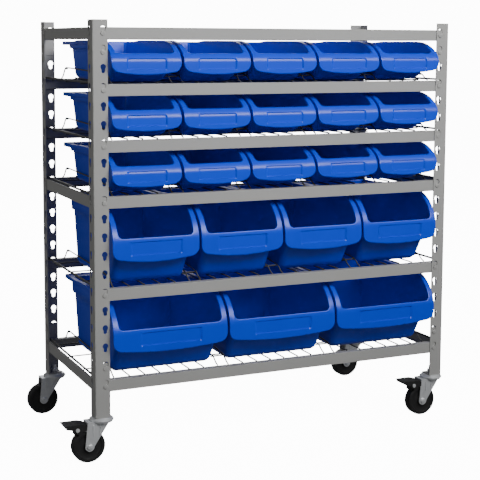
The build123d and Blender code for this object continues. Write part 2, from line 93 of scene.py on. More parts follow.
# The sum of every triangle's corner product is six times the volume: below zero, the faces look
# inward and are turned
def facingOut(points, quads, triangles):
    corners = np.concatenate([quads[:, :3], quads[:, [0, 2, 3]], triangles])
    first, second, third = points[corners[:, 0]], points[corners[:, 1]], points[corners[:, 2]]
    if np.sum(first * np.cross(second, third)) < 0:
        quads, triangles = quads[:, ::-1], triangles[:, ::-1]
    return points, quads, triangles


# A closed surface from rings of points. The ends are closed by fans to a pole, or else the last ring
# meets the first.
def surfaceFromRings(rings, loop=False):
    rows, columns = rings.shape[:2]
    points = rings.reshape(-1, 3)
    nextRow = (np.arange(rows) + 1) % rows
    rowPairs = rows if loop else rows - 1
    row = np.repeat(np.arange(rowPairs), columns)
    column = np.tile(np.arange(columns), rowPairs)
    nextColumn = (column + 1) % columns
    quads = np.stack([row * columns + column, row * columns + nextColumn,
                      nextRow[row] * columns + nextColumn, nextRow[row] * columns + column], axis=1)
    if loop:
        return facingOut(points, quads, np.zeros((0, 3), int))
    poles = np.stack([rings[0].mean(axis=0), rings[-1].mean(axis=0)])
    around = np.arange(columns)
    after = (around + 1) % columns
    last = (rows - 1) * columns
    first = np.stack([np.full(columns, len(points)), after, around], axis=1)
    final = np.stack([np.full(columns, len(points) + 1), last + around, last + after], axis=1)
    return facingOut(np.concatenate([points, poles]), quads, np.concatenate([first, final]))


def joined(parts):
    points, quads, triangles, offset = [], [], [], 0
    for partPoints, partQuads, partTriangles in parts:
        points.append(partPoints)
        quads.append(partQuads + offset)
        triangles.append(partTriangles + offset)
        offset += len(partPoints)
    return np.concatenate(points), np.concatenate(quads), np.concatenate(triangles)


# A profile of (radius, height) pairs turned about an axis, placed at a centre. axis is "y" or "z".
def lathe(profile, centre, axis="z", segments=48, loop=False):
    profile = np.array(profile, float) * mm
    turn = np.linspace(0, 2 * math.pi, segments, endpoint=False)
    radius, height = profile[:, :1], profile[:, 1:]
    side, front, along = radius * np.cos(turn), radius * np.sin(turn), height + 0 * turn
    order = (side, front, along) if axis == "z" else (front, along, side)
    return surfaceFromRings(np.stack(order, axis=-1) + np.array(centre), loop)


# Rings that round off a bar's end: their share of the bar's radius, and how high the end bulges
barEnd = {"shares": np.array([0.15, 0.6, 0.9]), "bulge": 0.5}


# A round bar carried along a path that stays in one plane: each ring is the path's point plus
# radius times (cosine of the turn along the plane's normal, sine across it)
def tubeAlong(path, normal, radius, sides=12):
    path, normal = np.array(path, float), np.array(normal, float)
    tangent = np.gradient(path, axis=0)
    tangent /= np.linalg.norm(tangent, axis=1, keepdims=True)
    across = np.cross(tangent, normal)
    turn = np.linspace(0, 2 * math.pi, sides, endpoint=False)
    ring = np.cos(turn)[:, None] * normal
    rings = path[:, None] + radius * (ring[None] + np.sin(turn)[None, :, None] * across[:, None])
    shares = barEnd["shares"]
    drops = np.sqrt(1 - shares ** 2) * barEnd["bulge"]
    startCap = path[0] + (rings[0] - path[0])[None] * shares[:, None, None]
    startCap = startCap - tangent[0] * (radius * drops)[:, None, None]
    endCap = path[-1] + (rings[-1] - path[-1])[None] * shares[::-1, None, None]
    endCap = endCap + tangent[-1] * (radius * drops[::-1])[:, None, None]
    return surfaceFromRings(np.concatenate([startCap, rings, endCap]))


# Straight runs joined by quadratic curves that start the given reach before each corner, or nearly
# half way along a short run
def roundedPath(corners, reach, steps=5, longestShare=0.45):
    corners = np.array(corners, float)
    path = [corners[0]]
    share = np.linspace(0, 1, steps)[:, None]
    for before, corner, after in zip(corners, corners[1:], corners[2:]):
        inward, outward = before - corner, after - corner
        start = corner + inward * min(reach / np.linalg.norm(inward), longestShare)
        end = corner + outward * min(reach / np.linalg.norm(outward), longestShare)
        path.extend((1 - share) ** 2 * start + 2 * share * (1 - share) * corner + share ** 2 * end)
    path.append(corners[-1])
    return np.array(path)


def newFinish(name):
    material = bpy.data.materials.new(name)
    material.use_nodes = True
    tree = material.node_tree
    shader = tree.nodes["Principled BSDF"]
    place = addNode(tree, "ShaderNodeTexCoord").outputs["Object"]
    return material, tree, shader, place


# Two near colours mixed by soft noise of a real size, for the small drift in shade of any finish
def driftColour(tree, shader, place, size, first, second):
    noise = addNode(tree, "ShaderNodeTexNoise", values={"Scale": 1 / size, "Detail": 3.0, "Roughness": 0.6},
                    links={"Vector": place})
    mix = addNode(tree, "ShaderNodeMix", {"data_type": "RGBA"},
                  {"A": linearColour(first), "B": linearColour(second)}, {"Factor": noise.outputs["Fac"]})
    tree.links.new(mix.outputs["Result"], shader.inputs["Base Color"])
    return noise


def surfaceGrain(tree, shader, place, size, height, strength):
    grain = addNode(tree, "ShaderNodeTexNoise", values={"Scale": 1 / size, "Detail": 2.0},
                    links={"Vector": place})
    bump = addNode(tree, "ShaderNodeBump", values={"Strength": strength, "Distance": height},
                   links={"Height": grain.outputs["Fac"]})
    tree.links.new(bump.outputs["Normal"], shader.inputs["Normal"])


def roughnessDrift(tree, shader, source, low, high):
    span = addNode(tree, "ShaderNodeMapRange", values={"To Min": low, "To Max": high},
                   links={"Value": source})
    tree.links.new(span.outputs["Result"], shader.inputs["Roughness"])


# Light grey powder coat baked on steel: a satin skin with the faint orange peel of the melted powder
def powderCoatedSteel():
    coat = {"light": "#AFAFAD", "dark": "#A6A6A4", "driftSize": 90 * mm, "peelSize": 1.6 * mm,
            "peelHeight": 0.05 * mm, "smooth": 0.36, "rough": 0.46}
    material, tree, shader, place = newFinish("powderCoatedSteel")
    drift = driftColour(tree, shader, place, coat["driftSize"], coat["light"], coat["dark"])
    surfaceGrain(tree, shader, place, coat["peelSize"], coat["peelHeight"], 0.5)
    roughnessDrift(tree, shader, drift.outputs["Fac"], coat["smooth"], coat["rough"])
    shader.inputs["IOR"].default_value = 1.5
    return material


# The same coat on drawn wire, thin, with its grey painted darker than the frame's coat as painted shade, so
# the shelves read as fine dark lines
def shadedPowderCoatedWire():
    # these greys are the frame's light grey coat darkened: painted shade
    coat = {"light": "#626261", "dark": "#565655", "driftSize": 40 * mm, "peelSize": 1.0 * mm,
            "peelHeight": 0.03 * mm, "smooth": 0.34, "rough": 0.48}
    material, tree, shader, place = newFinish("shadedPowderCoatedWire")
    drift = driftColour(tree, shader, place, coat["driftSize"], coat["light"], coat["dark"])
    surfaceGrain(tree, shader, place, coat["peelSize"], coat["peelHeight"], 0.4)
    roughnessDrift(tree, shader, drift.outputs["Fac"], coat["smooth"], coat["rough"])
    return material


# Bright zinc electroplate on pressed steel: a cool, pale metal with cloudy patches of duller crystals
def zincPlatedSteel():
    plate = {"light": "#F0F2F4", "dark": "#D4D7DA", "cloudSize": 9 * mm, "grainSize": 0.8 * mm,
             "grainHeight": 0.01 * mm, "smooth": 0.32, "rough": 0.5}
    material, tree, shader, place = newFinish("zincPlatedSteel")
    cloud = driftColour(tree, shader, place, plate["cloudSize"], plate["light"], plate["dark"])
    surfaceGrain(tree, shader, place, plate["grainSize"], plate["grainHeight"], 0.3)
    roughnessDrift(tree, shader, cloud.outputs["Fac"], plate["smooth"], plate["rough"])
    shader.inputs["Metallic"].default_value = 0.5
    return material


# Blue polypropylene moulded against a steel tool: deep blue with a soft sheen, slightly cloudy under
# the skin, with a very fine grain where the tool is worn
def mouldedPolypropylene():
    plastic = {"light": "#0048EE", "dark": "#0040E2", "flowSize": 70 * mm, "grainSize": 0.9 * mm,
               "grainHeight": 0.012 * mm, "smooth": 0.26, "rough": 0.36}
    material, tree, shader, place = newFinish("mouldedPolypropylene")
    flow = driftColour(tree, shader, place, plastic["flowSize"], plastic["light"], plastic["dark"])
    surfaceGrain(tree, shader, place, plastic["grainSize"], plastic["grainHeight"], 0.35)
    roughnessDrift(tree, shader, flow.outputs["Fac"], plastic["smooth"], plastic["rough"])
    shader.inputs["IOR"].default_value = 1.49
    return material


# Hard black polyolefin, moulded: satin, with a little dust that greys the tread
def hardBlackPolyolefin():
    plastic = {"light": "#262627", "dark": "#171718", "dustSize": 6 * mm, "grainSize": 0.7 * mm,
               "grainHeight": 0.03 * mm, "smooth": 0.42, "rough": 0.6}
    material, tree, shader, place = newFinish("hardBlackPolyolefin")
    dust = driftColour(tree, shader, place, plastic["dustSize"], plastic["light"], plastic["dark"])
    surfaceGrain(tree, shader, place, plastic["grainSize"], plastic["grainHeight"], 0.4)
    roughnessDrift(tree, shader, dust.outputs["Fac"], plastic["smooth"], plastic["rough"])
    return material


# Black nylon with the fine spark-eroded texture of a pedal that must not slip
def sparkedBlackNylon():
    nylon = {"light": "#232324", "dark": "#161617", "driftSize": 5 * mm, "sparkSize": 0.9 * mm,
             "sparkHeight": 0.06 * mm, "smooth": 0.5, "rough": 0.68}
    material, tree, shader, place = newFinish("sparkedBlackNylon")
    drift = driftColour(tree, shader, place, nylon["driftSize"], nylon["light"], nylon["dark"])
    surfaceGrain(tree, shader, place, nylon["sparkSize"], nylon["sparkHeight"], 0.6)
    roughnessDrift(tree, shader, drift.outputs["Fac"], nylon["smooth"], nylon["rough"])
    return material


coatFinish = powderCoatedSteel()
shadedWireFinish = shadedPowderCoatedWire()
zincFinish = zincPlatedSteel()
binFinish = mouldedPolypropylene()
wheelFinish = hardBlackPolyolefin()
pedalFinish = sparkedBlackNylon()
print("finishes made")


# Sheet metal pieces are the CAD shape with its edges broken. Angles are in degrees.
sheetMetal = {"edgeRadius": 0.35 * mm, "plateEdgeRadius": 0.5 * mm, "beamEdgeRadius": 0.9 * mm,
              "pedalEdgeRadius": 0.8 * mm, "mergeReach": 0.002 * mm, "flatAngle": 1, "sharpAngle": 35}


def softenedCopy(node, material, body, edgeRadius, segments=2):
    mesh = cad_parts[node].data.copy()
    work = bmesh.new()
    work.from_mesh(mesh)
    bmesh.ops.remove_doubles(work, verts=work.verts, dist=sheetMetal["mergeReach"])
    bmesh.ops.dissolve_limit(work, angle_limit=math.radians(sheetMetal["flatAngle"]), verts=work.verts,
                             edges=work.edges)
    work.to_mesh(mesh)
    work.free()
    mesh.materials.clear()
    mesh.polygons.foreach_set("use_smooth", np.ones(len(mesh.polygons), bool))
    mesh.set_sharp_from_angle(angle=math.radians(sheetMetal["sharpAngle"]))
    piece = addPiece(node + "_look", mesh, material, body, [node])
    bevel = piece.modifiers.new("brokenEdges", "BEVEL")
    bevel.width = edgeRadius
    bevel.segments = segments
    bevel.limit_method = "ANGLE"
    bevel.angle_limit = math.radians(sheetMetal["sharpAngle"])
    bevel.harden_normals = True


cornerNames = ["front_left", "front_right", "rear_left", "rear_right"]
beamNodes = [f"front_beam_{n}" for n in range(1, 7)] + ["rear_beams", "side_beams"]
for corner in cornerNames:
    softenedCopy("post_" + corner, coatFinish, "frame", sheetMetal["edgeRadius"], 1)
for node in beamNodes:
    softenedCopy(node, coatFinish, "frame", sheetMetal["beamEdgeRadius"])
softenedCopy("foot_plates", coatFinish, "frame", sheetMetal["plateEdgeRadius"])
print("posts and beams dressed")


# A rivet is a shank with a low domed head. The crown and the foot are shares of a radius, so that the
# small flats in their middles stay round.
rivetHead = {"radius": 5.5, "height": 1.95, "rim": 1.2, "shankRadius": 3.9, "shankLength": 1.9, "points": 7,
             "sides": 20, "crown": 0.12, "foot": 0.3}
# Seats lie on the posts' outer faces, one column in each flange, counted from the top
rivetLayout = {"column": 24.0, "pitch": 41.3, "rows": [0, 1, 3, 6, 9, 14, 18, 19],
               "sideRows": [0, 1, 9, 18, 19], "headProud": 2.0, "headRadius": 5.6}


def rivetProfile(shape):
    dome = []
    for angle in np.linspace(math.pi / 2, 0, shape["points"])[::-1]:
        dome.append((shape["radius"] * math.cos(angle),
                     shape["rim"] + (shape["height"] - shape["rim"]) * math.sin(angle)))
    dome = dome[:-1] + [(shape["radius"] * shape["crown"], shape["height"])]
    foot = [(shape["shankRadius"] * shape["foot"], -shape["shankLength"]),
            (shape["shankRadius"], -shape["shankLength"]), (shape["shankRadius"], 0), (shape["radius"], 0)]
    return foot + dome


# Each seat as its place and the direction that faces out of the post
def rivetSeats(layout):
    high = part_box("beam_rivets")[1]
    outerX = high.x - layout["headProud"] * mm
    outerY = high.y - layout["headProud"] * mm
    topSeat = high.z - layout["headRadius"] * mm
    seats = []
    for sx in (-1, 1):
        for sy in (-1, 1):
            for row in layout["rows"]:
                seats.append(((sx * (outerX - layout["column"] * mm), sy * outerY,
                               topSeat - row * layout["pitch"] * mm), (0, sy, 0)))
            for row in layout["sideRows"]:
                seats.append(((sx * outerX, sy * (outerY - layout["column"] * mm),
                               topSeat - row * layout["pitch"] * mm), (sx, 0, 0)))
    return seats


def rivetCopies():
    profile = np.array(rivetProfile(rivetHead)) * mm
    turn = np.linspace(0, 2 * math.pi, rivetHead["sides"], endpoint=False)
    side, lift = profile[:, :1] * np.cos(turn), profile[:, :1] * np.sin(turn)
    along = profile[:, 1:] + 0 * turn
    upward = np.array([0, 0, 1])
    parts = []
    for seat, outward in rivetSeats(rivetLayout):
        outward = np.array(outward, float)
        flat = np.cross(upward, outward)
        rings = side[..., None] * flat + lift[..., None] * upward + along[..., None] * outward
        parts.append(surfaceFromRings(rings + np.array(seat)))
    return joined(parts)


addPiece("beam_rivets_look", meshFrom("rivets", *rivetCopies()), coatFinish, "frame",
         ["beam_rivets"], 50)
print("rivets set")


# Welded wire shelf: bars from front to back, cross wires welded under them, and a raised pair of
# divider wires at each side of every bin. The ledges are heights of the wires' seat above the beam's
# foot, and above the lowest shelf's own underside. A divider's end bends lie at one bendRunPart of
# its run and one bendRisePart of its rise.
wireShelf = {"width": 914.0, "depth": 428.0, "postFlange": 34.5, "ledge": 26.5, "lowestLedge": 3.1,
             "bins": [5, 5, 5, 4, 3], "radius": 1.75, "edgeRadius": 2.7, "edgeInset": 9.0,
             "endSetback": 14.4, "targetPitch": 36.5, "crossPlaces": [118.0, 239.0, 358.0],
             "weldSink": 0.5, "dividerGap": 27.0, "barOverhang": 3.4, "barInset": 7.0, "start": 17.0,
             "frontReach": 26.0, "frontRise": 15.0, "midReach": 93.0, "midRise": 22.0, "backReach": 34.0,
             "backRise": 27.0, "bendRunPart": 3, "bendRisePart": 6, "bend": 8.0}


def dividerHeight(shape, depth, y):
    # the two long runs of a divider wire, read as straight lines between their corner heights
    backCorner = depth - shape["start"] - shape["backReach"]
    corners = [shape["start"] + shape["frontReach"], shape["start"] + shape["midReach"], backCorner]
    return np.interp(y, corners, [shape["frontRise"], shape["midRise"], shape["backRise"]])


def shelfWires(shape, count, top):
    width, depth = shape["width"], shape["depth"]
    edge, front = -width / 2, -depth / 2
    level = top + shape["radius"]
    pitch = (width - 2 * shape["postFlange"]) / count
    alongY, alongX, parts = (1, 0, 0), (0, 1, 0), []

    def bar(start, end, normal, radius):
        path = np.linspace(start, end, 3) * mm
        parts.append(tubeAlong(path, normal, radius * mm))

    clear = pitch - shape["dividerGap"]
    gaps = round(clear / shape["targetPitch"])
    for place in range(count):
        first = edge + shape["postFlange"] + pitch * place + shape["dividerGap"] / 2
        for step in range(1, gaps):
            x = first + clear * step / gaps
            bar((x, front + shape["endSetback"], level), (x, -front - shape["endSetback"], level), alongY,
                shape["radius"])
    for side in (-1, 1):
        x = side * (width / 2 - shape["edgeInset"])
        z = top + shape["edgeRadius"]
        bar((x, front + shape["endSetback"], z), (x, -front - shape["endSetback"], z), alongY,
            shape["edgeRadius"])
    under = level - 2 * shape["radius"] + shape["weldSink"]
    runPart, risePart = shape["bendRunPart"], shape["bendRisePart"]
    back = depth - shape["start"]
    for place in shape["crossPlaces"]:
        bar((edge + shape["edgeInset"], front + place, under),
            (-edge - shape["edgeInset"], front + place, under), alongX, shape["radius"])
    for place in range(count + 1):
        middle = edge + shape["postFlange"] + pitch * place
        sides = [side for side in (-1, 1) if 0 <= place + (side - 1) / 2 < count]
        columns = [middle + side * shape["dividerGap"] / 2 for side in sides]
        for x in columns:
            line = [(shape["start"], 0),
                    (shape["start"] + shape["frontReach"] / runPart, shape["frontRise"] / risePart),
                    (shape["start"] + shape["frontReach"], shape["frontRise"]),
                    (shape["start"] + shape["midReach"], shape["midRise"]),
                    (back - shape["backReach"], shape["backRise"]),
                    (back - shape["backReach"] / runPart, shape["backRise"] / risePart), (back, 0)]
            path = roundedPath([(x, front + y, level + z) for y, z in line], shape["bend"])
            parts.append(tubeAlong(path * mm, (1, 0, 0), shape["radius"] * mm))
        left, right = min(columns) - shape["barOverhang"], max(columns) + shape["barOverhang"]
        for y in (shape["start"] + shape["frontReach"] + shape["barInset"],
                  back - shape["backReach"] - shape["barInset"]):
            z = under + dividerHeight(shape, depth, y)
            bar((left, front + y, z), (right, front + y, z), alongX, shape["radius"])
    return joined(parts)


for number, count in enumerate(wireShelf["bins"], start=1):
    if number < len(wireShelf["bins"]):
        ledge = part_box(f"front_beam_{number + 1}")[0].z / mm + wireShelf["ledge"]
    else:
        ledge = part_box(f"wire_shelf_{number}")[0].z / mm + wireShelf["lowestLedge"]
    mesh = meshFrom(f"wires{number}", *shelfWires(wireShelf, count, ledge))
    addPiece(f"wire_shelf_{number}_look", mesh, shadedWireFinish, "frame", [f"wire_shelf_{number}"])
print("wire shelves laid")


# A bin is a tub with a bent strip round its mouth: lip and label in front, rims along the sides, hook
# behind. Small bins share one side view, medium and large bins the other. Half the label's length goes
# with the bin's width.
binShape = {
    "wall": 2.2, "floor": 2.6, "plate": 3.0, "stepDepth": 5.8, "baseInset": 16.0, "rimInset": 9.5,
    "baseCorner": 16.0, "rimCorner": 10.0, "bottomRound": 14.0, "baseFront": 63.0, "baseBack": 338.0,
    "rimBack": 347.0, "hookTip": 390.0, "hookCorner": 9.0, "rimRoll": 9.0, "lipRoll": 4.5, "lipCorner": 20.0,
    "rearDrop": 3.0, "rampStart": 250.0, "rampEnd": 300.0, "dropBelow": 20.0, "dropFade": 12.0,
    "labelDepth": 2.5, "labelEdge": 1.2, "labelSlope": 0.07, "edgeRound": 2.0, "mouthRound": 3.6,
    "bowReach": 1.02, "rollFade": 14.0, "rollFadeStart": -6.0, "rollTurn": 0.5, "stripSpare": 20.0,
    "stepFadeStart": 2.0, "stepFade": 6.0, "stepMargin": 1.5, "stepTop": 1.2, "stepDrop": 0.8,
    "small": {"height": 92.0, "lipTop": 58.0, "lipLow": 21.5, "lipBow": 5.0, "setback": 15.0, "step": 72.0,
              "rimStart": 44.0, "rimRun": 98.0, "footHandle": 0.42, "topHandle": 0.42, "labelLow": 27.5,
              "labelHigh": 52.5},
    "tall": {"height": 174.5, "lipTop": 106.0, "lipLow": 62.0, "lipBow": 7.0, "setback": 3.0, "step": 135.0,
             "rimStart": 100.0, "rimRun": 93.0, "footHandle": 0.3, "topHandle": 0.3, "labelLow": 71.0,
             "labelHigh": 101.5},
    "labelHalf": {163: 47.0, 205: 62.0, 276: 75.0}}
# Where the rows of faces lie on the bin's skin, as counts or as shares of the way across each stretch
binRows = {"middle": (0.15, 0.5, 0.85), "innerTurn": 6, "outerTurn": 7, "innerWall": 9, "outerWall": 7,
           "softTurn": 6, "aboveLabel": (0.33, 0.66), "label": 9, "belowLabel": (0.35, 0.7, 1.0),
           "plainTop": 0.34, "plainLow": 0.8, "rollStart": 0.3, "rollMiddle": 0.65, "rollBack": 0.5,
           "underside": (0.3, 0.6, 0.9), "aboveStep": (0.0, 0.5, 1.0), "stepRise": 0.4,
           "stepShares": (0.85, 0.25), "curve": 160, "strip": 900}


# Place of each column round a rounded rectangle: how far along the front or back edge, how far from
# front to back, and the direction in which the corner radius points. It starts at the front's middle.
# Along the front, 0 to 1 is the label's half and 1 to 2 the rest up to the corner.
def ringLayout():
    slope = binShape["labelSlope"]
    labelPart = list(np.linspace(0, 0.97 - slope, 8))
    labelPart += [0.995 - slope, 1.005 - slope, 1 - slope / 2, 0.995, 1.0]
    restPart = [1.01, 1.1, 1.25, 1.45, 1.65, 1.85]

    def half():
        out = [(s, 0, 0, -1) for s in labelPart + restPart]
        out += [(2, 0, math.sin(a), -math.cos(a)) for a in np.linspace(0, math.pi / 2, 11, endpoint=False)]
        out += [(2, s, 1, 0) for s in np.linspace(0, 1, 30, endpoint=False)]
        out += [(2, 1, math.cos(a), math.sin(a)) for a in np.linspace(0, math.pi / 2, 8, endpoint=False)]
        out += [(2 * s, 1, 0, 1) for s in np.linspace(1, 0, 8, endpoint=False)]
        return out
    right = half()
    left = [(-a, w, -cx, cy) for a, w, cx, cy in right[1:][::-1]]
    return np.array(right + [(0, 1, 0, 1)] + left).T


def ringAt(layout, halfWidth, front, back, radius, labelHalf, backRadius=None):
    along, depth, cornerX, cornerY = layout
    backRadius = radius if backRadius is None else backRadius
    local = np.where(depth < 0.5, radius, backRadius)
    straight = halfWidth - local
    first = np.minimum(labelHalf, straight * 0.9)
    size = np.abs(along)
    run = first * np.minimum(size, 1) + (straight - first) * np.maximum(size - 1, 0)
    x = np.sign(along) * run + local * cornerX
    y = (front + radius) * (1 - depth) + (back - backRadius) * depth + local * cornerY
    return x, y


# Outline of the tub at each column's own height: the sides lean out and the front slopes forward
def tubAt(layout, size, width, z, grow):
    share = z / size["height"]
    inset = binShape["baseInset"] + (binShape["rimInset"] - binShape["baseInset"]) * share - grow
    front = binShape["baseFront"] + (size["setback"] - binShape["baseFront"]) * z / size["lipTop"] - grow
    back = binShape["baseBack"] + (binShape["rimBack"] - binShape["baseBack"]) * share + grow
    radius = binShape["baseCorner"] + (binShape["rimCorner"] - binShape["baseCorner"]) * share + grow
    return ringAt(layout, width / 2 - inset, front, back, radius, size["labelHalf"])


# Side view of the rim and lip as one bent strip: straight up the lip, a cubic curve back to the level
# top, then level to the hook. Returned as length along the strip with its Y, Z and inward direction.
def stripCurve(size):
    t = np.linspace(0, 1, binRows["curve"])
    rise = size["height"] - size["rimStart"]
    curveY = size["rimRun"] * (3 * (1 - t) * t ** 2 * size["topHandle"] + t ** 3)
    curveZ = size["rimStart"] + rise * (3 * (1 - t) ** 2 * t * size["footHandle"] + 3 * (1 - t) * t ** 2
                                        + t ** 3)
    y = np.concatenate([[0, 0], curveY[1:], [binShape["hookTip"] + binShape["stripSpare"]]])
    z = np.concatenate([[0, size["rimStart"]], curveZ[1:], [size["height"]]])
    length = np.concatenate([[0], np.cumsum(np.hypot(np.diff(y), np.diff(z)))])
    fine = np.linspace(0, length[-1], binRows["strip"])
    y, z = np.interp(fine, length, y), np.interp(fine, length, z)
    slopeY, slopeZ = np.gradient(y, fine), np.gradient(z, fine)
    steepness = np.hypot(slopeY, slopeZ)
    return fine, y, z, slopeZ / steepness, -slopeY / steepness


def onStrip(strip, x, s, depth):
    length, y, z, inY, inZ = strip
    py = np.interp(s, length, y) + depth * np.interp(s, length, inY)
    pz = np.interp(s, length, z) + depth * np.interp(s, length, inZ)
    return np.stack([x, py, pz], axis=-1)


# Where the tub's wall meets the strip, or a layer inside it: halving the height until the wall's
# outline lies on the strip's side view. Returned as height, X and length along the strip.
def meetStrip(layout, size, width, strip, grow, depth, halvings=40, nearTop=0.01):
    length, y, z, inY, inZ = strip
    layerY, layerZ = y + depth * inY, z + depth * inZ
    top = size["height"] - depth
    low, high = np.zeros(layout.shape[1]), np.full(layout.shape[1], top)
    curved = layerZ < top - 1e-6
    for _ in range(halvings):
        middle = (low + high) / 2
        wallY = tubAt(layout, size, width, middle, grow)[1]
        behind = wallY >= np.interp(middle, layerZ[curved], layerY[curved])
        low, high = np.where(behind, middle, low), np.where(behind, high, middle)
    x, wallY = tubAt(layout, size, width, low, grow)
    onCurve = np.interp(low, layerZ[curved], length[curved])
    s = np.where(low > top - nearTop, np.interp(wallY, layerY, length), onCurve)
    return low, x, s


def softCorner(before, corner, after, steps):
    share = np.linspace(0, 1, steps)[:, None, None]
    return (1 - share) ** 2 * before + 2 * share * (1 - share) * corner + share ** 2 * after


def stepUp(value, start, width):
    t = np.clip((value - start) / width, 0, 1)
    return t * t * (3 - 2 * t)


# Inside floor with its rounded edge, then the inner wall up to just below the mouth
def insideRings(tub, mouthZ):
    wall, floor = binShape["wall"], binShape["floor"]
    innerRound = binShape["bottomRound"] - wall
    floorRing = tub(floor, -wall - innerRound)
    centre = floorRing.mean(axis=0)
    rings = [centre + (floorRing - centre) * share for share in binRows["middle"]]
    for angle in np.linspace(0, math.pi / 2, binRows["innerTurn"]):
        lift = innerRound * (1 - math.cos(angle))
        rings.append(tub(floor + lift, -wall - innerRound * (1 - math.sin(angle))))
    foot = floor + innerRound
    for share in np.linspace(0, 1, binRows["innerWall"])[1:-1]:
        rings.append(tub(foot + (mouthZ - foot) * share, -wall))
    height = mouthZ - foot
    belowMouth = tub(foot + height * (1 - np.clip(binShape["mouthRound"] / height, 0, 0.4)), -wall)
    return rings, belowMouth


# Edge of the strip laid flat, drawn in by the inset and bowed along the lip's foot
def stripOutline(layout, size, width, flatTop, inset):
    lipFoot, lipCorner = size["lipLow"], binShape["lipCorner"]
    x, s = ringAt(layout, width / 2 - inset, lipFoot + inset, flatTop - inset, lipCorner - inset,
                  size["labelHalf"], binShape["hookCorner"] - inset)
    reach = (width / 2 - lipCorner) * binShape["bowReach"]
    bow = size["lipBow"] * np.clip(1 - (x / reach) ** 2, 0, 1) * (s < lipFoot + inset + 0.01)
    return x, s - bow


# Face of the strip from the mouth's soft edge outward. The label's recess has rows of its own: shares
# of the way from the mouth to the outer edge.
def faceRings(layout, size, strip, mouthLine, edgeLine, belowMouth):
    (mouthX, mouthS), (edgeX, edgeS) = mouthLine, edgeLine
    span = np.hypot(edgeX - mouthX, edgeS - mouthS)
    atFront = (layout[3] < -0.99) & (layout[1] < 0.5)
    inLabel = atFront * np.clip((1 - np.abs(layout[0])) / binShape["labelSlope"], 0, 1)
    rounded = np.clip(binShape["mouthRound"] / span, 0, 0.3)
    topShare = np.where(atFront, (mouthS - size["labelHigh"]) / (mouthS - edgeS), binRows["plainTop"])
    lowShare = np.where(atFront, (mouthS - size["labelLow"]) / (mouthS - edgeS), binRows["plainLow"])
    endShare = 1 - np.clip(binShape["edgeRound"] / span, 0, 0.2)
    slope, depth = binShape["labelEdge"] / span, binShape["labelDepth"]

    def ring(share, depth=0.0):
        x, s = mouthX + (edgeX - mouthX) * share, mouthS + (edgeS - mouthS) * share
        return onStrip(strip, x, s, depth * inLabel)

    mouth = onStrip(strip, mouthX, mouthS, 0)
    rings = list(softCorner(belowMouth, mouth, ring(rounded), binRows["softTurn"]))
    rings += [ring(rounded + (topShare - rounded) * share) for share in binRows["aboveLabel"]]
    rings.append(ring(topShare))
    rings.append(ring(topShare + slope, depth))
    for share in np.linspace(0, 1, binRows["label"])[1:-1]:
        rings.append(ring(topShare + slope + (lowShare - topShare - 2 * slope) * share, depth))
    rings.append(ring(lowShare - slope, depth))
    rings.append(ring(lowShare))
    rings += [ring(lowShare + (endShare - lowShare) * share) for share in binRows["belowLabel"]]
    return rings, ring(endShare)


# Rolled edge, deep along the sides and the hook and shallow under the lip, and back in underneath
def edgeRings(size, strip, outline, beforeEdge):
    plate = binShape["plate"]
    edgeX, edgeS = outline(0)
    lipward = stepUp(size["rimStart"] - edgeS, binShape["rollFadeStart"], binShape["rollFade"])
    roll = binShape["rimRoll"] + (binShape["lipRoll"] - binShape["rimRoll"]) * lipward
    rollStart = onStrip(strip, edgeX, edgeS, roll * binRows["rollStart"])
    rings = list(softCorner(beforeEdge, onStrip(strip, edgeX, edgeS, 0), rollStart, binRows["softTurn"])[1:])
    rings.append(onStrip(strip, edgeX, edgeS, roll * binRows["rollMiddle"]))
    rings.append(onStrip(strip, edgeX, edgeS, roll - binShape["rollTurn"]))
    rings.append(onStrip(strip, *outline(binShape["rollTurn"]), roll))
    for depth in (roll, roll * binRows["rollBack"] + plate * binRows["rollBack"], plate):
        rings.append(onStrip(strip, *outline(plate), depth))
    return rings


# Underside of the strip, then the outer wall, wider above its step where it is high enough to have
# one, down to the rounded base
def outsideRings(tub, size, wallZ, under):
    hasStep = stepUp(wallZ, size["step"] + binShape["stepFadeStart"], binShape["stepFade"])
    stepZ = np.minimum(size["step"], wallZ - binShape["stepMargin"])
    wide, drop = binShape["stepDepth"] * hasStep, binShape["stepDrop"]
    top = tub(wallZ, wide)
    rings = [under + (top - under) * share for share in binRows["underside"]]
    for share in binRows["aboveStep"]:
        rings.append(tub(wallZ + (stepZ + binShape["stepTop"] - wallZ) * share, wide))
    upper, lower = binRows["stepShares"]
    rings += [tub(stepZ + binRows["stepRise"], wide * upper), tub(stepZ, lower * wide), tub(stepZ - drop, 0)]
    foot = binShape["bottomRound"]
    for share in np.linspace(0, 1, binRows["outerWall"])[1:-1]:
        rings.append(tub(stepZ - drop + (foot - stepZ + drop) * share, 0))
    for angle in np.linspace(math.pi / 2, 0, binRows["outerTurn"]):
        rings.append(tub(foot * (1 - math.cos(angle)), -foot * (1 - math.sin(angle))))
    baseRing = tub(0, -foot)
    centre = baseRing.mean(axis=0)
    return rings + [centre + (baseRing - centre) * share for share in binRows["middle"][::-1]]


